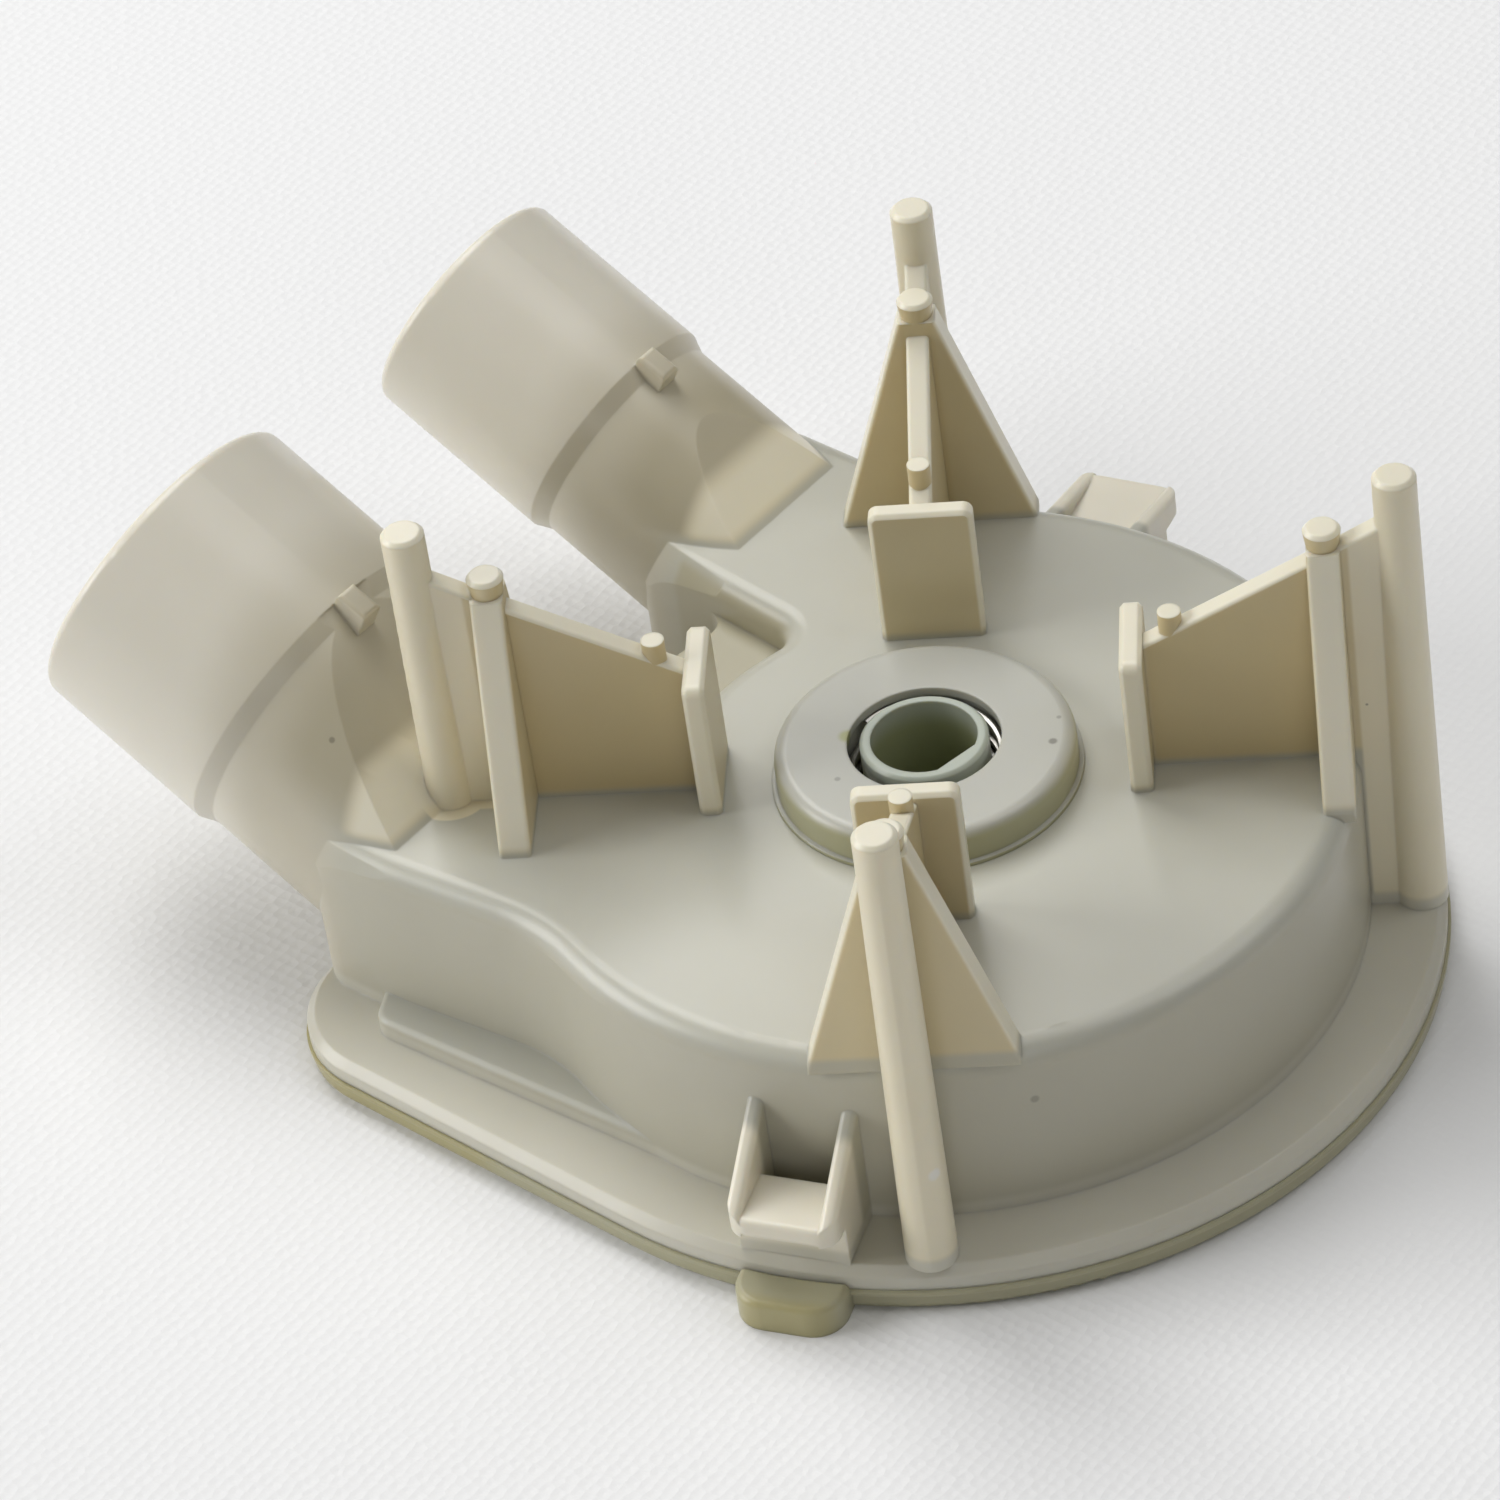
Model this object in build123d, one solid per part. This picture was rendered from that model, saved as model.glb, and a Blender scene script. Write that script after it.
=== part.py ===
from build123d import *
import math
import os

# Washing machine drain pump: one moulded housing with two hose spigots and four motor posts,
# a welded bottom cover, and an impeller whose hollow hub comes up through a spring-loaded seal.
# Millimetres, +Z up along the shaft, origin on the shaft axis at the cover's underside,
# +X towards the hose spigots.

# Levels above the cover's underside
cover_rim_height = 3.2
flange_height = 3.0
deck_level = 30.0
wall = 2.5

# Pump chamber and the two channels that lead out of it
chamber_radius = 51.0
plateau_radius = 32.0
valley_radius = 44.0
valley_depth = 5.0
valley_corner = 3.0
outlet_inner_wall = 8.9
channel_end = 60.2
inlet_wall_near = 43.6
inlet_wall_far = 48.1
outlet_wall_near = 43.0
channel_corner = 5.0
channel_blend = 25.0
channel_bend = 60.0
deck_edge_round = 3.0

# Flange under the walls, the same outline on the cover
flange_width = 9.0
inlet_corner_radius = 14.0
inlet_corner_at = (46.2, 44.8)
outlet_corner_radius = 12.0
outlet_corner_at = (48.2, -42.5)
flange_edge_chamfer = 1.1
cover_edge_round = 1.0

# Hose spigots, parallel and tilted up from the deck
port_tilt = 26.6
seam_x = 73.3
seam_level = 31.5
inlet_side = 28.4
inlet_spigot_diameter = 41.1
inlet_bore_diameter = 35.0
inlet_spigot_length = 24.9
outlet_side = -30.3
outlet_spigot_diameter = 31.2
outlet_bore_diameter = 25.4
outlet_spigot_length = 26.2
neck_step = 1.0
neck_step_length = 2.2
neck_run_in = 10.0
inlet_run_in_rise = 2.3
outlet_run_in_rise = 4.4
spigot_end_round = 1.2
ramp_x = 45.6
inlet_ramp_angle = 46.0
outlet_ramp_angle = 40.0
seam_nub = (4.4, 3.0, 1.7)
seam_nub_round = 0.6

# Motor posts with their webs, gussets and inner tabs, four times round the shaft
post_count = 4
post_first_angle = 35.57
post_circle_radius = 57.15
post_top_level = 70.4
post_top_radius = 2.6
post_pin_length = 6.0
pin_chamfer = 0.5
post_base_radius = 3.1
web_thickness = 2.8
web_inner_rise = 17.4
web_gusset_rise = 30.0
web_post_rise = 35.0
rib_edge_round = 0.5
gusset_radius = 48.5
gusset_rise = 33.4
gusset_half_base = 12.1
gusset_pin_radius = 2.3
gusset_pin_length = 2.6
gusset_thickness = 3.9
tab_radius = 25.5
tab_rise = 19.2
tab_width = 12.6
tab_thickness = 2.7
tab_chamfer = 0.5
tab_corner = 1.2
web_nub_rise = 2.2
web_nub_radius_from_shaft = 30.2

# Spring clip seats on opposite sides of the chamber
front_clip_angle = 110.0
rear_clip_angle = 284.5
clip_width = 13.3
clip_ear_thickness = 2.0
clip_slot_gap = 3.5
clip_shelf_thickness = 2.5
clip_corner = 2.6
clip_ear_round = 0.8
clip_setback = 0.2
front_clip_reach = 11.5
front_clip_shelf_level = 14.4
front_clip_ear_level = 23.5
rear_clip_reach = 13.3
rear_clip_shelf_level = 24.5
rear_clip_ear_level = 28.0
cover_tab_reach = 14.2
cover_tab_height = 4.2
cover_tab_corner = 4.0
cover_tab_round = 0.8
weld_bead = 0.35
weld_bead_height = 0.7
cover_rib_height = 2.0
cover_rib_thickness = 1.5
cover_rib_clearance = 0.2

# Stiffening step on the flange beside the inlet channel
step_height = 2.6
step_start_x = 4.0
step_end_x = 46.5
step_back_x = 51.0
step_width = 4.3
step_corner = 3.0
step_edge_round = 0.8

# Shaft seal
cap_radius = 18.0
cap_height = 4.8
cap_edge_round = 1.6
cap_opening_radius = 9.2
cap_lip = 1.2
cap_foot_width = 0.6
cap_foot_height = 0.5
seal_bore_radius = 9.9
seal_boss_radius = 14.6
seal_boss_bore = 12.0
seal_boss_length = 7.0
boot_clearance = 0.1
boot_wall = 1.5
boot_length = 9.7
spring_wire = 1.0
spring_mean_radius = 9.0
spring_turns = 5
spring_sides = 8
washer_height = 0.8
boot_floor = 1.2
face_ring_height = 2.2
seat_ring_height = 2.0
ring_outer_radius = 11.2
ring_width = 3.1
hub_clearance = 0.35
face_film = 0.1

# Impeller
hub_radius = 7.7
hub_bore_radius = 6.4
hub_flat_from_axis = 5.65
hub_flat_angle = 170.0
hub_proud = 0.3
hub_rim_chamfer = 0.4
hub_bore_floor_level = 9.0
impeller_radius = 38.0
impeller_disc_height = 2.4
impeller_floor_gap = 2.4
impeller_hub_radius = 13.0
vane_count = 8
vane_thickness = 2.2
vane_height = 7.0
vane_sweep = 28.0
vane_bow = 2.6
thrust_pin_radius = 4.0
thrust_pin_height = 4.2
thrust_pin_clearance = 0.3

# Worked out from the sizes above
flange_radius = chamber_radius + flange_width
flange_top = cover_rim_height + flange_height
roof_level = deck_level - wall
ledge_level = deck_level - valley_depth
tilt = math.radians(port_tilt)
inlet_neck_radius = inlet_spigot_diameter / 2 - neck_step
outlet_neck_radius = outlet_spigot_diameter / 2 - neck_step
valley_inlet_side = inlet_side - inlet_neck_radius
valley_outlet_end = outlet_side + outlet_neck_radius
neck_reach = (seam_x - ramp_x + wall) * math.cos(tilt) + (seam_level - deck_level) * math.sin(tilt)
post_angles = [post_first_angle + 360 / post_count * i for i in range(post_count)]
cap_top = deck_level + cap_height
hub_top = cap_top + hub_proud
boot_floor_level = roof_level - boot_length
face_ring_level = boot_floor_level - face_ring_height
seat_ring_level = face_ring_level - face_film - seat_ring_height
washer_level = boot_floor_level + boot_floor
disc_bottom = cover_rim_height + impeller_floor_gap
big = 400.0
pick_margin = 0.1


def disc(radius, bottom, height):
    """Round plate about the shaft, standing on a level."""
    return Pos(0, 0, bottom) * Cylinder(radius, height, align=(Align.CENTER, Align.CENTER, Align.MIN))


def ring(outer, inner, bottom, height):
    """Flat ring about the shaft."""
    return disc(outer, bottom, height) - disc(inner, bottom, height)


def prism(face, bottom, height):
    """Upright solid from a flat outline."""
    return Pos(0, 0, bottom) * extrude(face, amount=height, dir=(0, 0, 1))


def flange_outline():
    """Chamber circle hulled with the two corners below the spigots."""
    corners = [
        CenterArc((0, 0), flange_radius, 0, 360),
        CenterArc(inlet_corner_at, inlet_corner_radius, 0, 360),
        CenterArc(outlet_corner_at, outlet_corner_radius, 0, 360),
    ]
    return make_hull(corners)


def valley_strip():
    """The gap between the two channels, seen from above."""
    return Polygon(
        (0, -outlet_inner_wall),
        (channel_end, valley_outlet_end),
        (big, valley_outlet_end),
        (big, valley_inlet_side),
        (0, valley_inlet_side),
        align=None,
    )


def body_outline(valley_edge):
    """Outer wall seen from above: chamber and two channels, drawn in to a radius between them."""
    inlet = Polygon(
        (0, valley_inlet_side),
        (channel_end, valley_inlet_side),
        (channel_end, inlet_side + inlet_neck_radius),
        (ramp_x, inlet_wall_far),
        (0, inlet_wall_near),
        align=None,
    )
    outlet = Polygon(
        (0, -outlet_inner_wall),
        (0, -outlet_wall_near),
        (channel_end, outlet_side - outlet_neck_radius),
        (channel_end, valley_outlet_end),
        align=None,
    )
    chamber = Circle(chamber_radius) - (valley_strip() - Circle(valley_edge))
    outline = chamber + inlet + outlet
    on_chamber = outline.vertices().filter_by(
        lambda v: abs(math.hypot(v.X, v.Y) - chamber_radius) < pick_margin
    )
    blends = on_chamber.filter_by(lambda v: v.Y > inlet_side or v.Y < outlet_side)
    outline = fillet(blends, channel_blend)
    bend = outline.vertices().sort_by_distance((ramp_x, inlet_wall_far, 0))[0]
    outline = fillet(bend, channel_bend)
    ends = outline.vertices().filter_by(lambda v: v.X > channel_end - pick_margin)
    outline = fillet(ends, channel_corner)
    inner = outline.vertices().filter_by(
        lambda v: abs(math.hypot(v.X, v.Y) - valley_edge) < pick_margin
    )
    return fillet(inner, valley_corner)


def ramp_block(angle, depth):
    """Everything under the ramp that closes a neck down to the deck, a depth below its face."""
    slope = math.radians(angle)
    face = Plane(
        origin=(ramp_x, 0, deck_level),
        x_dir=(math.cos(slope), 0, math.sin(slope)),
        z_dir=(-math.sin(slope), 0, math.cos(slope)),
    )
    block = Box(big, big, big, align=(Align.CENTER, Align.CENTER, Align.MAX))
    return face * Pos(0, 0, -depth) * block


def above(level):
    """Everything above a level."""
    return Pos(0, 0, level) * Box(big, big, big, align=(Align.CENTER, Align.CENTER, Align.MIN))


def port_frame(side):
    """Frame on a port's axis at its seam, pointing out of the spigot."""
    return Plane(
        origin=(seam_x, side, seam_level),
        x_dir=(-math.sin(tilt), 0, math.cos(tilt)),
        z_dir=(math.cos(tilt), 0, math.sin(tilt)),
    )


def port(side, spigot_diameter, spigot_length, ramp_angle):
    """Spigot with a rounded end, its seam nub, and the slimmer neck that runs back into the body."""
    axis = port_frame(side)
    base = (Align.CENTER, Align.CENTER, Align.MIN)
    spigot = Cylinder(spigot_diameter / 2, spigot_length, align=base)
    spigot = fillet(spigot.edges().sort_by(Axis.Z)[-1], spigot_end_round)
    neck_radius = spigot_diameter / 2 - neck_step
    neck = Pos(0, 0, -neck_reach) * Cylinder(neck_radius, neck_reach, align=base)
    swell = Cone(neck_radius, spigot_diameter / 2, neck_step_length, align=base)
    neck += Pos(0, 0, -neck_step_length) * swell
    neck = (axis * neck) & ramp_block(ramp_angle, 0) & above(cover_rim_height)
    nub_length, nub_width, nub_rise = seam_nub
    nub = Box(2 * (nub_rise + neck_step), nub_width, nub_length)
    nub = fillet(nub.faces().sort_by(Axis.X)[-1].edges(), seam_nub_round)
    return axis * spigot + neck + axis * Pos(neck_radius, 0, -nub_length / 2) * nub


def port_shoulder(side, neck_radius, rise):
    """What a channel's deck has too much beside its neck, above the port's axis."""
    base = (Align.CENTER, Align.CENTER, Align.MIN)
    start = -neck_reach
    width = 2 * (neck_radius + rise)
    shoulder = Pos(0, 0, start) * Box(big, width, big, align=(Align.MIN, Align.CENTER, Align.MIN))
    run_in = Cone(neck_radius + rise, neck_radius, neck_run_in, align=base)
    shoulder -= Pos(0, 0, start) * (run_in + Cylinder(neck_radius, big, align=base))
    return port_frame(side) * shoulder


def port_bore(side, bore_diameter, spigot_length, ramp_angle):
    """Water way through a spigot and its neck, under the ramp and down to the cover."""
    way = Cylinder(
        bore_diameter / 2,
        spigot_length + neck_reach,
        align=(Align.CENTER, Align.CENTER, Align.MIN),
    )
    way = port_frame(side) * Pos(0, 0, -neck_reach) * way
    return way & ramp_block(ramp_angle, wall) & above(cover_rim_height)


def post_assembly(angle):
    """Motor post with the web, gusset and tab that brace it on the deck."""
    base = (Align.CENTER, Align.CENTER, Align.MIN)
    height = post_top_level - post_pin_length - flange_top
    post = Pos(0, 0, flange_top) * Cone(post_base_radius, post_top_radius, height, align=base)
    pin = Cylinder(post_top_radius, post_pin_length, align=base)
    post += Pos(0, 0, flange_top + height) * chamfer(pin.edges().sort_by(Axis.Z)[-1], pin_chamfer)
    web_profile = Polygon(
        (tab_radius, deck_level - wall / 2),
        (chamber_radius - wall / 2, deck_level - wall / 2),
        (chamber_radius - wall / 2, flange_top - flange_height / 2),
        (post_circle_radius, flange_top - flange_height / 2),
        (post_circle_radius, deck_level + web_post_rise),
        (gusset_radius, deck_level + web_gusset_rise),
        (tab_radius, deck_level + web_inner_rise),
        align=None,
    )
    web = extrude(Plane.XZ * web_profile, amount=web_thickness / 2, both=True)
    web_rim = web.faces().filter_by(lambda f: f.normal_at().Z > pick_margin).edges()
    web = fillet(web_rim.filter_by(lambda e: abs(e.tangent_at(0).Y) < pick_margin), rib_edge_round)
    gusset_profile = Polygon(
        (-gusset_half_base, deck_level - wall / 2),
        (gusset_half_base, deck_level - wall / 2),
        (gusset_half_base, deck_level),
        (gusset_pin_radius, deck_level + gusset_rise - gusset_pin_length),
        (-gusset_pin_radius, deck_level + gusset_rise - gusset_pin_length),
        (-gusset_half_base, deck_level),
        align=None,
    )
    gusset = extrude(Plane.YZ * gusset_profile, amount=gusset_thickness / 2, both=True)
    gusset_rim = gusset.faces().filter_by(lambda f: pick_margin < f.normal_at().Z < 1 - pick_margin).edges()
    gusset = fillet(gusset_rim.filter_by(lambda e: abs(e.tangent_at(0).X) < pick_margin), rib_edge_round)
    pin = Cone(gusset_thickness / 2, gusset_pin_radius, gusset_pin_length, align=base)
    pin = chamfer(pin.edges().sort_by(Axis.Z)[-1], pin_chamfer)
    gusset += Pos(0, 0, deck_level + gusset_rise - gusset_pin_length) * pin
    tab_profile = Pos(0, deck_level - wall / 2) * Rectangle(
        tab_width, tab_rise + wall / 2, align=(Align.CENTER, Align.MIN)
    )
    tab_profile = fillet(tab_profile.vertices().group_by(Axis.Y)[-1], tab_corner)
    tab = extrude(Plane.YZ * tab_profile, amount=tab_thickness / 2, both=True)
    tab_faces = tab.faces().filter_by(Axis.X)
    tab = chamfer(tab_faces.edges().filter_by(lambda e: e.center().Z > deck_level), tab_chamfer)
    slope = (web_gusset_rise - web_inner_rise) / (gusset_radius - tab_radius)
    nub_level = deck_level + web_inner_rise + slope * (web_nub_radius_from_shaft - tab_radius)
    nub = Pos(web_nub_radius_from_shaft, 0, nub_level - web_nub_rise) * Cylinder(
        web_thickness / 2, 2 * web_nub_rise, align=base
    )
    brace = web + Pos(gusset_radius, 0, 0) * gusset + Pos(tab_radius, 0, 0) * tab + nub
    return Rot(0, 0, angle) * (brace + Pos(post_circle_radius, 0, 0) * post)


def clip_seat(angle, reach, shelf_level, ear_level):
    """Shelf between two sloping ears, with a slot behind it for a spring clip's leg."""
    root = chamber_radius - wall / 2
    foot = flange_top - flange_height / 2
    shelf_bottom = shelf_level - clip_shelf_thickness
    block_face = flange_radius - flange_edge_chamfer - clip_setback
    front = chamber_radius + reach
    ear_profile = Polygon(
        (root, foot),
        (block_face, foot),
        (block_face, shelf_bottom),
        (front, shelf_bottom),
        (front, shelf_level),
        (root, ear_level),
        align=None,
    )
    side = (clip_width - clip_ear_thickness) / 2
    ear = extrude(Plane.XZ * ear_profile, amount=clip_ear_thickness / 2, both=True)
    slope = ear.faces().sort_by(lambda f: f.normal_at().Z)[-1]
    ear = fillet(slope.edges().filter_by(lambda e: abs(e.tangent_at(0).Y) < pick_margin), clip_ear_round)
    slot_end = chamber_radius + clip_slot_gap
    base = (Align.MIN, Align.CENTER, Align.MIN)
    shelf = Box(front - slot_end, clip_width, clip_shelf_thickness, align=base)
    shelf = fillet(shelf.edges().filter_by(Axis.Z).group_by(Axis.X)[-1], clip_corner)
    shelf = fillet(shelf.faces().sort_by(Axis.X)[-1].edges().filter_by(Axis.Y), clip_ear_round)
    block = Box(block_face - slot_end, clip_width, shelf_level - foot, align=base)
    seat = Pos(slot_end, 0, shelf_bottom) * shelf + Pos(slot_end, 0, foot) * block
    plan = Box(front - root, clip_width, big, align=(Align.MIN, Align.CENTER, Align.CENTER))
    plan = Pos(root, 0, 0) * fillet(plan.edges().filter_by(Axis.Z).group_by(Axis.X)[-1], clip_corner)
    for place in (side, -side):
        seat += (Pos(0, place, 0) * ear) & plan
    return Rot(0, 0, angle) * seat


def stiffening_step():
    """Low step on the flange that runs from the chamber's wall along the inlet channel."""
    start_y = math.sqrt(chamber_radius**2 - step_start_x**2)
    end_y = inlet_wall_far + step_width
    profile = Polygon(
        (step_start_x, start_y),
        (step_end_x, end_y),
        (step_back_x, inlet_wall_near),
        (step_back_x, valley_inlet_side),
        (step_start_x, valley_inlet_side),
        align=None,
    )
    step = prism(profile, cover_rim_height, flange_height + step_height)
    corner = step.edges().filter_by(Axis.Z).sort_by_distance((step_end_x, end_y, flange_top))[0]
    step = fillet(corner, step_corner)
    rim = step.faces().sort_by(Axis.Z)[-1].edges().filter_by(lambda e: e.center().Y > inlet_wall_near)
    return fillet(rim, step_edge_round)


def pump_housing():
    """One moulding: chamber, channels, spigots, flange, motor posts and clip seats."""
    lower = body_outline(valley_radius)
    upper = body_outline(plateau_radius)
    ledge = prism(lower, cover_rim_height, ledge_level - cover_rim_height)
    body = prism(upper, cover_rim_height, deck_level - cover_rim_height)
    body = fillet(body.faces().sort_by(Axis.Z)[-1].edges(), deck_edge_round)
    flange = prism(flange_outline(), cover_rim_height, flange_height)
    flange = chamfer(flange.faces().sort_by(Axis.Z)[-1].edges(), flange_edge_chamfer)
    housing = body + ledge
    housing -= port_shoulder(inlet_side, inlet_neck_radius, inlet_run_in_rise)
    housing -= port_shoulder(outlet_side, outlet_neck_radius, outlet_run_in_rise)
    housing += flange + stiffening_step()
    housing += port(inlet_side, inlet_spigot_diameter, inlet_spigot_length, inlet_ramp_angle)
    housing += port(outlet_side, outlet_spigot_diameter, outlet_spigot_length, outlet_ramp_angle)
    for angle in post_angles:
        housing += post_assembly(angle)
    housing += clip_seat(front_clip_angle, front_clip_reach, front_clip_shelf_level, front_clip_ear_level)
    housing += clip_seat(rear_clip_angle, rear_clip_reach, rear_clip_shelf_level, rear_clip_ear_level)

    housing -= prism(offset(lower, -wall), cover_rim_height, ledge_level - wall - cover_rim_height)
    housing -= prism(offset(upper, -wall), cover_rim_height, roof_level - cover_rim_height)
    housing -= port_bore(inlet_side, inlet_bore_diameter, inlet_spigot_length, inlet_ramp_angle)
    housing -= port_bore(outlet_side, outlet_bore_diameter, outlet_spigot_length, outlet_ramp_angle)
    housing += ring(seal_boss_radius, seal_boss_bore, roof_level - seal_boss_length, seal_boss_length)
    housing -= disc(seal_bore_radius, roof_level, 2 * wall)
    return housing


def cover_tab(angle):
    """Clip tab that stands out from the cover's rim."""
    tab = Box(cover_tab_reach, clip_width, cover_tab_height, align=(Align.MIN, Align.CENTER, Align.MIN))
    tab = fillet(tab.edges().filter_by(Axis.Z).group_by(Axis.X)[-1], cover_tab_corner)
    tab = fillet(tab.faces().sort_by(Axis.Z)[-1].edges(), cover_tab_round)
    tab = Rot(0, 0, angle) * Pos(chamber_radius, 0, 0) * tab
    return tab - prism(offset(flange_outline(), weld_bead), cover_rim_height, flange_height)


def bottom_cover():
    """Plate welded under the flange, with a locating rib, clip tabs and a thrust pin for the impeller."""
    outline = flange_outline()
    plate = prism(outline, 0, cover_rim_height)
    plate = fillet(plate.faces().sort_by(Axis.Z)[0].edges(), cover_edge_round)
    plate += prism(offset(outline, weld_bead), cover_rim_height - weld_bead_height, weld_bead_height)
    plate += cover_tab(front_clip_angle) + cover_tab(rear_clip_angle)
    fit = offset(body_outline(valley_radius), -wall - cover_rib_clearance)
    rib = fit - offset(fit, -cover_rib_thickness)
    plate += prism(rib, cover_rim_height, cover_rib_height)
    plate += disc(thrust_pin_radius, cover_rim_height, thrust_pin_height)
    return plate


def seal_cap():
    """Round cap on the deck whose lip holds the top of the spring."""
    cap = disc(cap_radius, deck_level, cap_height)
    cap = fillet(cap.edges().sort_by(Axis.Z)[-1], cap_edge_round)
    cap += disc(cap_radius + cap_foot_width, deck_level, cap_foot_height)
    cap -= disc(seal_bore_radius, deck_level, cap_height - cap_lip)
    return cap - disc(cap_opening_radius, deck_level, cap_height)


def seal_spring():
    """Coil spring between the cap's lip and the washer, in half turns that lean to and fro."""
    bottom = washer_level + washer_height + spring_wire / 2
    top = cap_top - cap_lip - spring_wire / 2
    rise = (top - bottom) / (2 * spring_turns)
    lean = math.degrees(math.atan2(rise, 2 * spring_mean_radius))
    half_turn_radius = math.hypot(rise, 2 * spring_mean_radius) / 2
    section = Plane.XZ * Pos(half_turn_radius, 0) * RegularPolygon(spring_wire / 2, spring_sides)
    half_turn = Rot(0, lean, 0) * revolve(section, Axis.Z, 180)
    spring = None
    for i in range(2 * spring_turns):
        turned = Pos(0, 0, bottom + rise * (i + 1 / 2)) * Rot(0, 0, 180 * i) * half_turn
        spring = turned if spring is None else spring + turned
    return spring


def spring_washer():
    """Thin ring that spreads the spring's load on the boot's floor."""
    return ring(seal_bore_radius - boot_clearance, hub_radius + hub_clearance, washer_level, washer_height)


def seal_boot():
    """Rubber boot in the boss: top rim, sleeve and the floor that carries the face ring."""
    outer = seal_boss_bore - boot_clearance
    boot = disc(outer, boot_floor_level, boot_length)
    boot -= disc(outer - boot_wall, washer_level, boot_length - boot_floor - boot_wall)
    boot -= disc(seal_bore_radius, washer_level, boot_length)
    return boot - disc(hub_radius + hub_clearance, boot_floor_level, boot_floor)


def seal_face_ring():
    """Carbon ring under the boot that stands still against the turning seat ring."""
    return ring(ring_outer_radius, ring_outer_radius - ring_width, face_ring_level, face_ring_height)


def seal_seat_ring():
    """Hard ring on the impeller's shoulder that turns against the face ring."""
    return ring(ring_outer_radius, hub_radius, seat_ring_level, seat_ring_height)


def impeller():
    """One moulding: hollow hub with a flat in its bore, shoulder, disc and swept vanes."""
    rotor = disc(impeller_radius, disc_bottom, impeller_disc_height)
    rotor += disc(impeller_hub_radius, disc_bottom, seat_ring_level - disc_bottom)
    hub = disc(hub_radius, disc_bottom, hub_top - disc_bottom)
    rotor += chamfer(hub.edges().sort_by(Axis.Z)[-1], hub_rim_chamfer)
    sweep_out = math.radians(vane_sweep)
    tip = Vector(impeller_radius * math.cos(sweep_out), impeller_radius * math.sin(sweep_out))
    root = Vector(impeller_hub_radius - vane_thickness / 2, 0)
    middle = (root + tip) / 2 - Vector(0, vane_bow)
    vane_profile = trace(ThreePointArc(root, middle, tip), line_width=vane_thickness)
    vane = prism(vane_profile, disc_bottom, impeller_disc_height + vane_height)
    for i in range(vane_count):
        rotor += Rot(0, 0, 360 / vane_count * i) * vane
    rotor &= disc(impeller_radius, disc_bottom, hub_top)
    bore = disc(hub_bore_radius, hub_bore_floor_level, hub_top)
    flat = Pos(hub_flat_from_axis, 0, 0) * Box(big, big, big, align=(Align.MIN, Align.CENTER, Align.CENTER))
    rotor -= bore - Rot(0, 0, hub_flat_angle) * flat
    pocket_height = cover_rim_height + thrust_pin_height + thrust_pin_clearance - disc_bottom
    return rotor - disc(thrust_pin_radius + thrust_pin_clearance, disc_bottom, pocket_height)


def save(name, solid):
    """Write one piece to its own file."""
    export_step(solid, os.path.join("parts", name + ".step"))
    print(name, "solids", len(solid.solids()), "volume", round(solid.volume, 1), "valid", solid.is_valid)


os.makedirs("parts", exist_ok=True)
pieces = [pump_housing, bottom_cover, seal_cap, seal_spring, spring_washer, seal_boot]
pieces += [seal_face_ring, seal_seat_ring, impeller]
for piece in pieces:
    save(piece.__name__, piece())
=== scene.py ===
import logging
import math
from dataclasses import dataclass
from enum import Enum
from typing import Any, Callable, Dict, Optional, Sequence, Tuple, Union

import bmesh
import bpy
from mathutils import Matrix, Vector

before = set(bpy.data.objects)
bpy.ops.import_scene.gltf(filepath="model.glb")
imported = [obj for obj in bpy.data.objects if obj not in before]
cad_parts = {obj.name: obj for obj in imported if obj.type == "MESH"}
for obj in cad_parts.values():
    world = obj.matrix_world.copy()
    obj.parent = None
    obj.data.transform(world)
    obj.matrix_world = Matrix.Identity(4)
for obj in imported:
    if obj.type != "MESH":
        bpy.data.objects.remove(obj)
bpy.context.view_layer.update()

log = logging.getLogger("drain_pump")

MM = 0.001
Rgb = Tuple[float, float, float]
Point = Tuple[float, float, float]
FADE_NEAR = 0.2 * MM
FADE_FAR = 1.5 * MM


class Blend(Enum):
    """Ways to lay one colour over another."""

    MIX = "MIX"
    MULTIPLY = "MULTIPLY"


class Wire:
    """An output socket of a shader, whose arithmetic adds Math nodes."""

    def __init__(self, sheet: "ShaderSheet", socket: bpy.types.NodeSocket) -> None:
        """Keep the sheet that the socket is on, and the socket."""
        self.sheet = sheet
        self.socket = socket

    def __add__(self, other: "Term") -> "Wire":
        """This plus another."""
        return self.sheet.math("ADD", self, other)

    def __radd__(self, other: "Term") -> "Wire":
        """Another plus this."""
        return self.sheet.math("ADD", other, self)

    def __sub__(self, other: "Term") -> "Wire":
        """This less another."""
        return self.sheet.math("SUBTRACT", self, other)

    def __rsub__(self, other: "Term") -> "Wire":
        """Another less this."""
        return self.sheet.math("SUBTRACT", other, self)

    def __mul__(self, other: "Term") -> "Wire":
        """This times another."""
        return self.sheet.math("MULTIPLY", self, other)

    def __rmul__(self, other: "Term") -> "Wire":
        """Another times this."""
        return self.sheet.math("MULTIPLY", other, self)

    def __pow__(self, other: "Term") -> "Wire":
        """This to a power."""
        return self.sheet.math("POWER", self, other)

    def highest(self, other: "Term") -> "Wire":
        """The larger of this and another."""
        return self.sheet.math("MAXIMUM", self, other)

    def lowest(self, other: "Term") -> "Wire":
        """The smaller of this and another."""
        return self.sheet.math("MINIMUM", self, other)

    def size(self) -> "Wire":
        """This without its sign."""
        return self.sheet.math("ABSOLUTE", self, 0.0)

    def rise(self, low: float, high: float) -> "Wire":
        """A soft step, from 0 at low to 1 at high.

        Args:
            low: value where the step starts.
            high: value where it ends; below low, the step falls.

        Returns:
            The step as a socket.
        """
        settings = {"interpolation_type": "SMOOTHSTEP"}
        return self.sheet.add(
            "ShaderNodeMapRange", settings, {"Value": self, "From Min": low, "From Max": high}
        )


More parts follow.
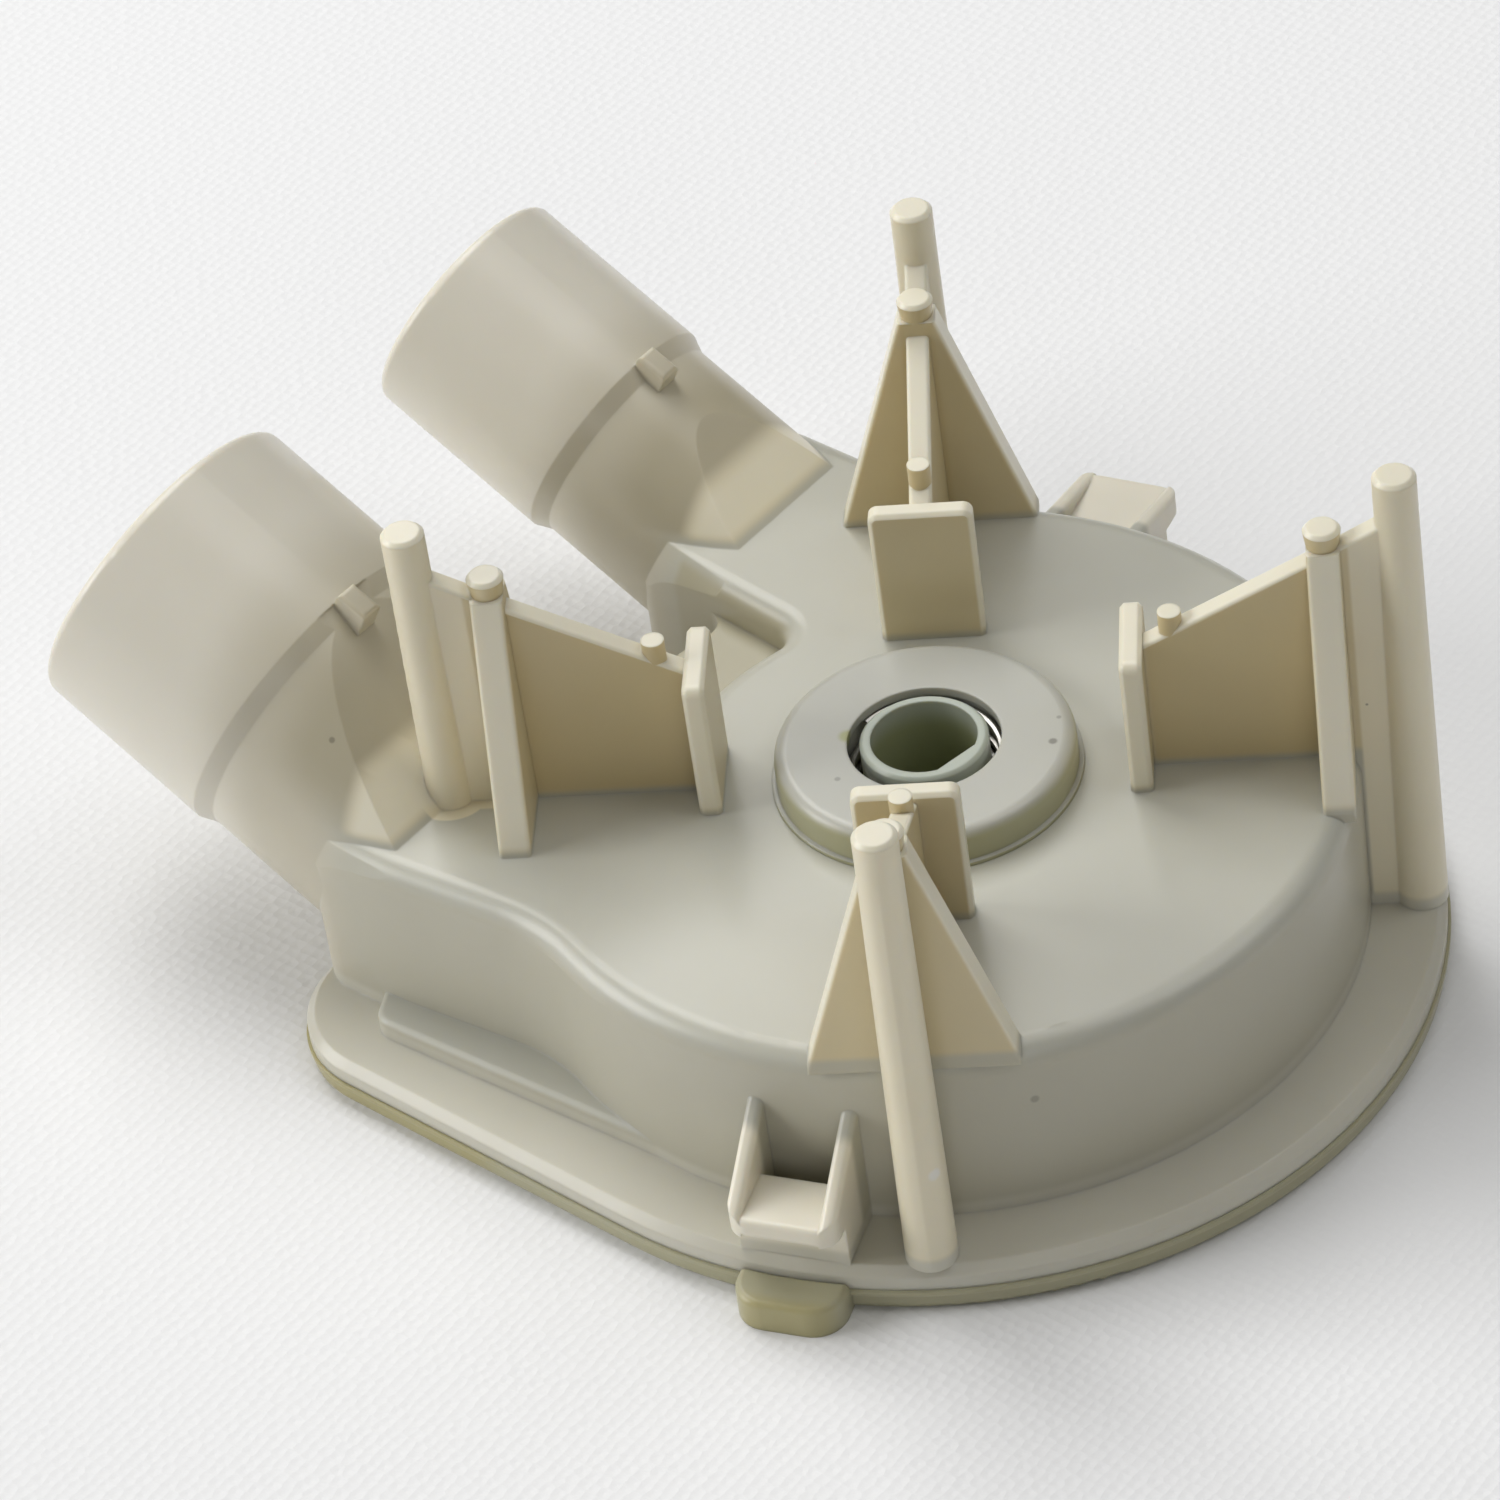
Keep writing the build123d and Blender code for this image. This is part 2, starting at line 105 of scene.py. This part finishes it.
Term = Union[Wire, float, int]


class ShaderSheet:
    """A material's node tree, filled node by node."""

    MIX_A, MIX_B, MIX_RESULT = 6, 7, 2
    BEVEL_SAMPLES = 4

    def __init__(self, name: str) -> None:
        """Start an empty material.

        Args:
            name: the material's name.
        """
        self.material = bpy.data.materials.new(name)
        self.material.use_nodes = True
        self.tree = self.material.node_tree
        self.tree.nodes.clear()

    def add(
        self,
        kind: str,
        settings: Dict[str, Any],
        inputs: Dict[Union[str, int], Any],
        output: Union[str, int] = 0,
    ) -> Wire:
        """Add one node.

        Args:
            kind: the node's type.
            settings: its own properties.
            inputs: a value or a wire for each socket that is set.
            output: the output that is wanted.

        Returns:
            That output as a wire.
        """
        node = self.tree.nodes.new(kind)
        for key, value in settings.items():
            setattr(node, key, value)
        for key, value in inputs.items():
            self._feed(node.inputs[key], value)
        return Wire(self, node.outputs[output])

    def _feed(self, socket: bpy.types.NodeSocket, value: Any) -> None:
        """Link a wire to a socket, or set the socket's own value.

        Args:
            socket: the input socket.
            value: a wire, a number, a vector or a colour.
        """
        if isinstance(value, Wire):
            self.tree.links.new(value.socket, socket)
        elif isinstance(value, tuple) and socket.type == "RGBA":
            socket.default_value = (*value, 1.0)
        else:
            socket.default_value = value

    def math(self, operation: str, first: Term, second: Term) -> Wire:
        """A Math node on two values."""
        return self.add("ShaderNodeMath", {"operation": operation}, {0: first, 1: second})

    def place(self) -> Wire:
        """Object coordinates, in metres."""
        return self.add("ShaderNodeTexCoord", {}, {}, "Object")

    def axes(self) -> Tuple[Wire, Wire, Wire]:
        """Object coordinates, in metres.

        Returns:
            One wire each for x, y and z.
        """
        node = self.add("ShaderNodeSeparateXYZ", {}, {"Vector": self.place()})
        outputs = node.socket.node.outputs
        return tuple(Wire(self, outputs[name]) for name in "XYZ")

    def from_shaft(self) -> Wire:
        """Distance from the shaft's axis, in metres."""
        x, y, _ = self.axes()
        return (x * x + y * y) ** 0.5

    def along(self, turn: float) -> Wire:
        """Distance from the shaft's axis along one bearing.

        Args:
            turn: the bearing, in degrees from the x axis.

        Returns:
            The distance, less than 0 on the other side of the axis.
        """
        x, y, _ = self.axes()
        return math.cos(math.radians(turn)) * x + math.sin(math.radians(turn)) * y

    def upward(self) -> Wire:
        """How far the surface faces up: 1 on top, 0 on a wall."""
        facing = self.add("ShaderNodeNewGeometry", {}, {}, "Normal")
        return self.add("ShaderNodeSeparateXYZ", {}, {"Vector": facing}, "Z")

    def distance_from(self, spot: Point) -> Wire:
        """Distance from a spot on the pump, in metres."""
        settings = {"operation": "DISTANCE"}
        return self.add("ShaderNodeVectorMath", settings, {0: self.place(), 1: spot}, "Value")

    def noise(self, size: float, detail: float, stretch: Point = (1.0, 1.0, 1.0)) -> Wire:
        """Soft noise about 0.5.

        Args:
            size: width of its blotches, in metres.
            detail: how many finer layers it has.
            stretch: scale on each axis.

        Returns:
            The noise as a wire.
        """
        scaled = {"Vector": self.place(), "Scale": stretch}
        inputs = {
            "Vector": self.add("ShaderNodeMapping", {}, scaled),
            "Scale": 1 / size,
            "Detail": detail,
        }
        return self.add("ShaderNodeTexNoise", {}, inputs)

    def specks(self, spacing: float, radius: float, share: float) -> Wire:
        """Scattered round specks: 1 inside a speck, 0 outside.

        Args:
            spacing: width of the cells that hold at most one speck.
            radius: a speck's radius in metres.
            share: how many of the cells hold one.

        Returns:
            The mask as a wire.
        """
        cells = {"Vector": self.place(), "Scale": 1 / spacing}
        near = self.add("ShaderNodeTexVoronoi", {}, cells, "Distance")
        pick = self.add("ShaderNodeTexVoronoi", {}, cells, "Color")
        parts = self.add("ShaderNodeSeparateColor", {}, {"Color": pick}, "Red")
        limit = radius / spacing
        return near.rise(limit, limit / 2) * self.math("LESS_THAN", parts, share)

    def blend(self, kind: Blend, factor: Term, under: Any, over: Any) -> Wire:
        """Lay one colour over another.

        Args:
            kind: how they combine.
            factor: how much of the upper one shows.
            under: lower colour or wire.
            over: upper colour or wire.

        Returns:
            The mixed colour.
        """
        settings = {"data_type": "RGBA", "blend_type": kind.value, "clamp_result": True}
        inputs = {0: factor, self.MIX_A: under, self.MIX_B: over}
        return self.add("ShaderNodeMix", settings, inputs, self.MIX_RESULT)

    def bump(
        self, height: Wire, strength: float, distance: float, normal: Optional[Wire] = None
    ) -> Wire:
        """A bump's normal, over another normal where one is given.

        Args:
            height: the relief's height, from 0 to 1.
            strength: how much of the relief shows.
            distance: the depth that a height of 1 stands for, in metres.
            normal: the normal under it.

        Returns:
            The new normal.
        """
        inputs = {"Height": height, "Strength": strength, "Distance": distance}
        if normal is not None:
            inputs["Normal"] = normal
        return self.add("ShaderNodeBump", {}, inputs)

    def soft_edges(self, radius: float) -> Wire:
        """Normals that are rounded at the edges, as on a moulding."""
        return self.add("ShaderNodeBevel", {"samples": self.BEVEL_SAMPLES}, {"Radius": radius})

    def surface(self, inputs: Dict[str, Any]) -> bpy.types.Material:
        """Finish the material with a Principled surface.

        Args:
            inputs: a value or a wire for each socket that is set.

        Returns:
            The material.
        """
        shader = self.add("ShaderNodeBsdfPrincipled", {}, inputs)
        output = self.tree.nodes.new("ShaderNodeOutputMaterial")
        self.tree.links.new(shader.socket, output.inputs["Surface"])
        return self.material


@dataclass(frozen=True)
class Fade:
    """A soft step along one measure."""

    start: float
    full: float

    @classmethod
    def over(cls, level: float) -> "Fade":
        """The step from just over a level to well over it."""
        return cls(level + FADE_NEAR, level + FADE_FAR)

    @classmethod
    def under(cls, level: float) -> "Fade":
        """The step from just under a level to well under it."""
        return cls(level - FADE_NEAR, level - FADE_FAR)

    def of(self, measure: Wire) -> Wire:
        """0 where the measure is at start, and 1 where it is at full."""
        return measure.rise(self.start, self.full)


@dataclass(frozen=True)
class Relief:
    """Fine noise that shows as a bump."""

    size: float
    detail: float
    strength: float
    depth: float

    def lay(self, sheet: ShaderSheet, normal: Wire) -> Wire:
        """Lay the relief over a normal.

        Args:
            sheet: the material that the relief is on.
            normal: what lies under it.

        Returns:
            The new normal.
        """
        return sheet.bump(sheet.noise(self.size, self.detail), self.strength, self.depth, normal)


@dataclass(frozen=True)
class Mark:
    """One small stain or scuff at a known spot."""

    spot: Point
    radius: float
    colour: Rgb
    strength: float = 0.8
    core: float = 0.45

    def lay(self, sheet: ShaderSheet, colour: Any) -> Wire:
        """Lay the mark over a colour.

        Args:
            sheet: the material that the mark is on.
            colour: what lies under it.

        Returns:
            The colour with the mark.
        """
        inside = sheet.distance_from(self.spot).rise(self.radius, self.core * self.radius)
        return sheet.blend(Blend.MIX, self.strength * inside, colour, self.colour)


DIRT: Rgb = (0.10, 0.09, 0.07)
SCUFF: Rgb = (0.78, 0.77, 0.72)
GREASE: Rgb = (0.34, 0.35, 0.10)

Zone = Tuple[Wire, Rgb]


@dataclass(frozen=True)
class MouldedPlastic:
    """Pale moulded plastic with a body colour, fine dirt and a few marks."""

    name: str
    body: Rgb
    marks: Tuple[Mark, ...] = ()
    roughness: float = 0.28
    smudge_size: float = 5 * MM
    smudge_detail: float = 4.0
    smudge_gain: float = 0.04
    ior: float = 1.49
    glow: float = 0.35
    glow_depth: float = 1.6 * MM
    glow_reach: Rgb = (1.0, 0.82, 0.5)
    edge_radius: float = 0.45 * MM
    grain: Relief = Relief(0.45 * MM, 2.0, 0.35, 0.012 * MM)
    ripple: Relief = Relief(9 * MM, 1.0, 0.20, 0.05 * MM)
    shade: Rgb = (0.74, 0.70, 0.60)
    shade_size: float = 14 * MM
    shade_detail: float = 3.0
    shade_fade: Fade = Fade(0.42, 0.72)
    shade_strength: float = 0.08
    speck: Rgb = (0.10, 0.09, 0.06)
    speck_spacing: float = 11 * MM
    speck_radius: float = 0.26 * MM
    speck_share: float = 0.10
    speck_strength: float = 0.55

    def make(self, zones: Callable[[ShaderSheet], Sequence[Zone]]) -> bpy.types.Material:
        """Make the material.

        Args:
            zones: gives the masks of the zones that differ from the body, each with its colour.

        Returns:
            The material.
        """
        sheet = ShaderSheet(self.name)
        colour: Any = self.body
        for mask, tone in zones(sheet):
            colour = sheet.blend(Blend.MIX, mask, colour, tone)
        mottle = self.shade_fade.of(sheet.noise(self.shade_size, self.shade_detail))
        colour = sheet.blend(Blend.MULTIPLY, self.shade_strength * mottle, colour, self.shade)
        dots = sheet.specks(self.speck_spacing, self.speck_radius, self.speck_share)
        colour = sheet.blend(Blend.MIX, self.speck_strength * dots, colour, self.speck)
        for mark in self.marks:
            colour = mark.lay(sheet, colour)
        smudge = sheet.noise(self.smudge_size, self.smudge_detail)
        normal = self.grain.lay(sheet, sheet.soft_edges(self.edge_radius))
        return sheet.surface(
            {
                "Base Color": colour,
                "Roughness": self.roughness + self.smudge_gain * smudge,
                "Normal": self.ripple.lay(sheet, normal),
                "IOR": self.ior,
                "Subsurface Weight": self.glow,
                "Subsurface Radius": self.glow_reach,
                "Subsurface Scale": self.glow_depth,
            }
        )


@dataclass(frozen=True)
class DrawnSteel:
    """Steel wire or strip with fine drawing marks."""

    name: str
    colour: Rgb
    tarnish: Rgb
    roughness: float = 0.28
    stain_size: float = 2.5 * MM
    stain_detail: float = 4.0
    stain_fade: Fade = Fade(0.45, 0.75)
    stain_strength: float = 0.5
    mark_size: float = 0.3 * MM
    mark_detail: float = 2.0
    mark_stretch: Point = (1.0, 1.0, 8.0)
    mark_gain: float = 0.2
    mark_strength: float = 0.2
    mark_depth: float = 0.01 * MM

    def make(self) -> bpy.types.Material:
        """Make the material.

        Returns:
            The material.
        """
        sheet = ShaderSheet(self.name)
        stain = self.stain_fade.of(sheet.noise(self.stain_size, self.stain_detail))
        marks = sheet.noise(self.mark_size, self.mark_detail, self.mark_stretch)
        return sheet.surface(
            {
                "Base Color": sheet.blend(
                    Blend.MIX, self.stain_strength * stain, self.colour, self.tarnish
                ),
                "Metallic": 1.0,
                "Roughness": self.roughness + self.mark_gain * marks,
                "Normal": sheet.bump(marks, self.mark_strength, self.mark_depth),
            }
        )


@dataclass(frozen=True)
class SealMaterial:
    """Rubber, carbon or ceramic of the seal's own rings."""

    name: str
    colour: Rgb
    bloom: Rgb
    roughness: float
    grain_size: float
    grain_detail: float = 3.0
    grain_gain: float = 0.15
    grain_strength: float = 0.3
    grain_depth: float = 0.02 * MM
    edge_radius: float = 0.15 * MM
    bloom_size: float = 4 * MM
    bloom_detail: float = 3.0
    bloom_fade: Fade = Fade(0.4, 0.8)
    bloom_strength: float = 0.4

    def make(self) -> bpy.types.Material:
        """Make the material.

        Returns:
            The material.
        """
        sheet = ShaderSheet(self.name)
        cloud = self.bloom_fade.of(sheet.noise(self.bloom_size, self.bloom_detail))
        grain = sheet.noise(self.grain_size, self.grain_detail)
        edges = sheet.soft_edges(self.edge_radius)
        return sheet.surface(
            {
                "Base Color": sheet.blend(
                    Blend.MIX, self.bloom_strength * cloud, self.colour, self.bloom
                ),
                "Roughness": self.roughness + self.grain_gain * grain,
                "Normal": sheet.bump(grain, self.grain_strength, self.grain_depth, edges),
            }
        )


def paint(node: str, material: bpy.types.Material) -> None:
    """Give one CAD node its finish.

    Args:
        node: the node's name.
        material: the finish for all of it.
    """
    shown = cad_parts[node]
    for place in shown.material_slots:
        place.material = material
    log.info("%s: %s on %d faces", node, material.name, len(shown.data.polygons))


@dataclass
class PumpBody:
    """Housing and bottom cover, welded together."""

    deck_level: float = 30.0 * MM
    above_deck: Fade = Fade.over(deck_level)
    below_deck: Fade = Fade.under(deck_level)
    flange_top: float = 7.0 * MM
    above_flange: Fade = Fade.over(flange_top)
    flange_outside: Fade = Fade(53.0 * MM, 54.5 * MM)
    facing_up: Fade = Fade(0.1, 0.7)
    # Painted shade: faces that do not face up (facing_up) are coloured darker and warmer than the
    # deck.
    painted_wall_shade: Rgb = (0.490, 0.470, 0.378)
    rim_tone: Rgb = (0.600, 0.580, 0.490)

    ledge: Fade = Fade(28.0 * MM, 34.0 * MM)
    # Painted shade: the sunk ledge below the deck is coloured darker and more olive.
    painted_ledge_shade: Rgb = (0.450, 0.420, 0.305)
    neck_start: float = 50.5 * MM
    neck: Fade = Fade(neck_start, neck_start + 3 * MM)
    neck_paint: Fade = Fade(neck_start, neck_start + 8 * MM)
    neck_tone: Rgb = (0.560, 0.520, 0.410)
    ramp_end: Fade = Fade(66.0 * MM, 58.0 * MM)
    ramp_facing: Fade = Fade(0.3, 0.6)
    # Painted shade: the upward-facing ramps between the necks and the deck are coloured darker.
    painted_ramp_shade: Rgb = (0.450, 0.410, 0.300)
    spigot: Fade = Fade(64.0 * MM, 76.0 * MM)
    # Painted light: the spigots are coloured paler for light coming through their thin walls and
    # for their sheen.
    painted_spigot_light: Rgb = (0.730, 0.695, 0.595)

    post_angle: float = 35.57
    post_circle: float = 57.15 * MM
    post_reach: Fade = Fade(4.9 * MM, 4.5 * MM)
    foot_start: Fade = Fade(51.1 * MM, 51.6 * MM)
    foot_width: Fade = Fade(3.2 * MM, 2.6 * MM)
    # Painted light: the posts and their feet are coloured paler for light coming through the thin
    # plastic.
    painted_post_light: Rgb = (0.770, 0.710, 0.540)
    # The warm tone over the deck is partly the ribs' own colour and partly painted light coming
    # through the thin plastic.
    plate_tone_and_glow: Rgb = (0.640, 0.555, 0.355)
    web_inner: Fade = Fade(26.9 * MM, 27.5 * MM)
    web_outer: Fade = Fade(50.4 * MM, 50.0 * MM)
    web_width: Fade = Fade(2.4 * MM, 1.6 * MM)
    # Painted shade: the webs' broad faces are coloured darker and warmer, with the glow of light
    # through the thin plastic.
    painted_web_shade: Rgb = (0.610, 0.510, 0.295)
    tab_reach: Fade = Fade(31.0 * MM, 30.0 * MM)
    tab_edge: Fade = Fade(5.5 * MM, 6.0 * MM)
    top_facing: Fade = Fade(0.04, 0.32)
    # Painted light: upward faces over the deck and the tab edges are coloured paler, as if lit
    # from above.
    painted_rib_top_light: Rgb = (0.780, 0.740, 0.600)

    clip_angle: float = 107.25
    clip_width: Fade = Fade(11.0 * MM, 10.0 * MM)
    # Painted light: the clip seats are coloured paler for light coming through the thin plastic.
    painted_seat_light: Rgb = (0.780, 0.740, 0.620)

    cover_edge: Fade = Fade(52.0 * MM, 60.0 * MM)
    cover_tone: Rgb = (0.430, 0.410, 0.275)
    cover_tabs: Fade = Fade(63.0 * MM, 65.0 * MM)
    cover_tab_tone: Rgb = (0.425, 0.385, 0.205)

    housing: MouldedPlastic = MouldedPlastic(
        "housing_plastic",
        (0.510, 0.505, 0.435),
        (
            Mark((56.77 * MM, 41.07 * MM, 39.86 * MM), 0.5 * MM, DIRT, 0.5),
            Mark((-39.28 * MM, 32.52 * MM, 22.28 * MM), 0.7 * MM, DIRT, 0.4),
            Mark((-36.11 * MM, 47.34 * MM, 20.95 * MM), 1.1 * MM, SCUFF),
        ),
    )
    cover: MouldedPlastic = MouldedPlastic("cover_plastic", (0.450, 0.430, 0.300))

    def _arms(self, sheet: ShaderSheet) -> Tuple[Wire, Wire]:
        """Place on the nearest of the four post arms.

        Args:
            sheet: the housing's material.

        Returns:
            How far out along the arm, and how far off its middle line.
        """
        ahead = sheet.along(self.post_angle).size()
        aside = sheet.along(self.post_angle + 90).size()
        return ahead.highest(aside), ahead.lowest(aside)

    def _body_zones(self, sheet: ShaderSheet) -> Sequence[Zone]:
        """Walls and sunk ledge with painted shade, necks, ramps with painted shade, flange, and
        clip seats and spigots with painted light.

        Args:
            sheet: the housing's material.

        Returns:
            Each zone's mask and colour, the lowest layer first.
        """
        x, _, z = sheet.axes()
        up = sheet.upward()
        neck = self.neck.of(x)
        proud = self.above_flange.of(z)
        outside = self.flange_outside.of(sheet.from_shaft())
        ledge = self.ledge.of(x) * self.below_deck.of(z) * (1 - neck) * (1 - outside)
        seats = self.clip_width.of(sheet.along(self.clip_angle + 90).size()) * outside * proud
        ramps = neck * self.ramp_end.of(x) * self.above_deck.of(z) * self.ramp_facing.of(up)
        return (
            (1 - self.facing_up.of(up), self.painted_wall_shade),
            (ledge, self.painted_ledge_shade),
            (self.neck_paint.of(x), self.neck_tone),
            (1 - proud, self.rim_tone),
            (seats, self.painted_seat_light),
            (ramps, self.painted_ramp_shade),
            (self.spigot.of(x), self.painted_spigot_light),
        )

    def _arm_zones(self, sheet: ShaderSheet) -> Sequence[Zone]:
        """Plates over the deck (own tone and painted glow), webs with painted shade, and posts
        with their feet, tops and edges with painted light.

        Args:
            sheet: the housing's material.

        Returns:
            Each zone's mask and colour, the lowest layer first.
        """
        x, _, z = sheet.axes()
        out, across = self._arms(sheet)
        clear = 1 - self.neck.of(x)
        above = self.above_deck.of(z) * clear
        webs = self.web_width.of(across) * self.web_inner.of(out) * self.web_outer.of(out)
        from_post = ((out - self.post_circle) ** 2 + across * across) ** 0.5
        feet = self.foot_start.of(out) * self.foot_width.of(across)
        posts = self.post_reach.of(from_post).highest(feet) * self.above_flange.of(z) * clear
        tab_edges = self.tab_reach.of(out) * self.tab_edge.of(across)
        tops = self.top_facing.of(sheet.upward()).highest(tab_edges)
        return (
            (above, self.plate_tone_and_glow),
            (above * webs, self.painted_web_shade),
            (posts, self.painted_post_light),
            (above * tops, self.painted_rib_top_light),
        )

    def _housing_zones(self, sheet: ShaderSheet) -> Sequence[Zone]:
        """All zones of the housing, the arms last."""
        return (*self._body_zones(sheet), *self._arm_zones(sheet))

    def _cover_zones(self, sheet: ShaderSheet) -> Sequence[Zone]:
        """The cover's outer edge and its clip tabs.

        Args:
            sheet: the cover's material.

        Returns:
            Each zone's mask and colour, the lowest layer first.
        """
        out = sheet.from_shaft()
        return (
            (self.cover_edge.of(out), self.cover_tone),
            (self.cover_tabs.of(out), self.cover_tab_tone),
        )

    def dress(self) -> None:
        """Finish the two mouldings."""
        paint("pump_housing", self.housing.make(self._housing_zones))
        paint("bottom_cover", self.cover.make(self._cover_zones))


@dataclass
class ShaftSeal:
    """Cap, spring, washer, boot and the two rings that seal the shaft."""

    cap_edge: Fade = Fade(13.0 * MM, 17.0 * MM)
    cap_facing: Fade = Fade(0.15, 0.85)
    # Painted shade: the cap's side near its rim is coloured darker and more olive than its top.
    painted_cap_side_shade: Rgb = (0.430, 0.420, 0.265)
    cap: MouldedPlastic = MouldedPlastic(
        "cap_plastic",
        (0.485, 0.483, 0.428),
        (
            Mark((-13.44 * MM, -7.47 * MM, 34.8 * MM), 0.7 * MM, DIRT, 0.6),
            Mark((-11.45 * MM, -11.33 * MM, 34.8 * MM), 0.4 * MM, DIRT, 0.4),
            Mark((4.36 * MM, 11.10 * MM, 34.8 * MM), 0.5 * MM, DIRT, 0.4),
            Mark((8.13 * MM, 4.35 * MM, 34.4 * MM), 1.5 * MM, GREASE, 0.7),
        ),
    )
    spring: DrawnSteel = DrawnSteel("spring_wire", (0.62, 0.60, 0.56), (0.20, 0.17, 0.12))
    washer: DrawnSteel = DrawnSteel("washer_strip", (0.55, 0.55, 0.54), (0.30, 0.28, 0.24), 0.34)
    boot: SealMaterial = SealMaterial(
        "boot_rubber", (0.022, 0.022, 0.022), (0.05, 0.05, 0.048), 0.6, 0.4 * MM
    )
    face: SealMaterial = SealMaterial(
        "face_carbon", (0.05, 0.05, 0.053), (0.08, 0.08, 0.085), 0.3, 0.15 * MM
    )
    seat: SealMaterial = SealMaterial(
        "seat_ceramic", (0.80, 0.79, 0.74), (0.72, 0.70, 0.63), 0.15, 0.3 * MM
    )

    def _cap_zones(self, sheet: ShaderSheet) -> Sequence[Zone]:
        """The cap's rounded rim and its side, the side with painted shade.

        Args:
            sheet: the cap's material.

        Returns:
            Each zone's mask and colour, the lowest layer first.
        """
        edge = self.cap_edge.of(sheet.from_shaft())
        side = 1 - self.cap_facing.of(sheet.upward())
        return ((edge * side, self.painted_cap_side_shade),)

    def dress(self) -> None:
        """Finish the seal's pieces."""
        paint("seal_cap", self.cap.make(self._cap_zones))
        paint("seal_spring", self.spring.make())
        paint("spring_washer", self.washer.make())
        paint("seal_boot", self.boot.make())
        paint("seal_face_ring", self.face.make())
        paint("seal_seat_ring", self.seat.make())


@dataclass
class Rotor:
    """Impeller with its hollow hub."""

    hub_top: float = 35.1 * MM
    hub_rim: Fade = Fade(hub_top - 4 * MM, hub_top - 0.5 * MM)
    rim_tone: Rgb = (0.460, 0.500, 0.430)
    plastic: MouldedPlastic = MouldedPlastic("impeller_plastic", (0.340, 0.360, 0.210))

    def _zones(self, sheet: ShaderSheet) -> Sequence[Zone]:
        """The hub's top edge."""
        _, _, z = sheet.axes()
        return ((self.hub_rim.of(z), self.rim_tone),)

    def dress(self) -> None:
        """Finish the impeller."""
        paint("impeller", self.plastic.make(self._zones))


@dataclass(frozen=True)
class Lamp:
    """A soft square lamp aimed at the pump, with its angles in degrees and its power in watts."""

    name: str
    bearing: float
    height: float
    power: float
    reach: float = 1.8
    side: float = 1.0

    def hang(self) -> None:
        """Put the lamp up."""
        light = bpy.data.lights.new(self.name, "AREA")
        light.shape = "SQUARE"
        light.size = self.side
        light.energy = self.power
        turn, lift = math.radians(self.bearing), math.radians(self.height)
        level = math.cos(lift)
        towards = Vector((level * math.cos(turn), level * math.sin(turn), math.sin(lift)))
        made = bpy.data.objects.new(self.name, light)
        made.location = self.reach * towards
        made.rotation_mode = "QUATERNION"
        made.rotation_quaternion = towards.to_track_quat("Z", "Y")
        bpy.context.scene.collection.objects.link(made)


@dataclass
class Studio:
    """Pale floor, soft light and the camera."""

    eye: Point = (-410.763 * MM, 450.873 * MM, 551.165 * MM)
    right: Point = (-0.77614, -0.61979, -0.11598)
    up: Point = (0.33606, -0.56224, 0.75561)
    lens: float = 162.58
    sensor: float = 36.0
    nearest: float = 0.01
    farthest: float = 20.0
    floor_size: float = 6.0
    floor_colour: Rgb = (0.85, 0.85, 0.85)
    floor_roughness: float = 0.9
    weave_size: float = 1.5 * MM
    weave_shuffle: float = 0.35
    weave_strength: float = 0.60
    weave_depth: float = 0.20 * MM
    world_strength: float = 0.04
    lamps: Tuple[Lamp, ...] = (
        Lamp("window", 38.5, 25.0, 18.5),
        Lamp("back", -25.0, 54.0, 16.0),
        Lamp("right", 218.5, 58.0, 6.0),
        Lamp("front", 134.2, 25.0, 4.0),
        Lamp("ceiling", -45.8, 82.0, 5.5),
    )

    def floor(self) -> None:
        """A pale cloth under the pump."""
        mesh = bpy.data.meshes.new("floor")
        shape = bmesh.new()
        bmesh.ops.create_grid(shape, x_segments=2, y_segments=2, size=self.floor_size / 2)
        shape.to_mesh(mesh)
        shape.free()
        sheet = ShaderSheet("floor_cloth")
        threads = {
            "Vector": sheet.place(),
            "Scale": 1 / self.weave_size,
            "Randomness": self.weave_shuffle,
        }
        weave = sheet.add("ShaderNodeTexVoronoi", {}, threads, "Distance")
        cloth = {
            "Base Color": self.floor_colour,
            "Roughness": self.floor_roughness,
            "Normal": sheet.bump(weave, self.weave_strength, self.weave_depth),
        }
        mesh.materials.append(sheet.surface(cloth))
        made = bpy.data.objects.new("floor", mesh)
        bpy.context.scene.collection.objects.link(made)

    def world(self) -> None:
        """Even pale light from all round."""
        world = bpy.data.worlds.new("studio")
        world.use_nodes = True
        back = world.node_tree.nodes["Background"]
        back.inputs["Color"].default_value = (1.0, 1.0, 1.0, 1.0)
        back.inputs["Strength"].default_value = self.world_strength
        bpy.context.scene.world = world

    def camera(self) -> None:
        """The camera, where the photograph was taken from."""
        data = bpy.data.cameras.new("camera")
        data.lens = self.lens
        data.sensor_width = self.sensor
        data.clip_start = self.nearest
        data.clip_end = self.farthest
        right, up = Vector(self.right), Vector(self.up)
        turn = Matrix((right, up, right.cross(up))).transposed()
        made = bpy.data.objects.new("camera", data)
        made.matrix_world = Matrix.Translation(self.eye) @ turn.to_4x4()
        bpy.context.scene.collection.objects.link(made)
        bpy.context.scene.camera = made

    def build(self) -> None:
        """Set the stage."""
        self.floor()
        self.world()
        for lamp in self.lamps:
            lamp.hang()
        self.camera()
        bpy.context.scene.view_settings.view_transform = "Standard"


def main() -> None:
    """Build the pump's looks and the studio round it."""
    logging.basicConfig(level=logging.INFO)
    for assembly in (PumpBody(), ShaftSeal(), Rotor()):
        assembly.dress()
    Studio().build()


if __name__ == "__main__":
    main()
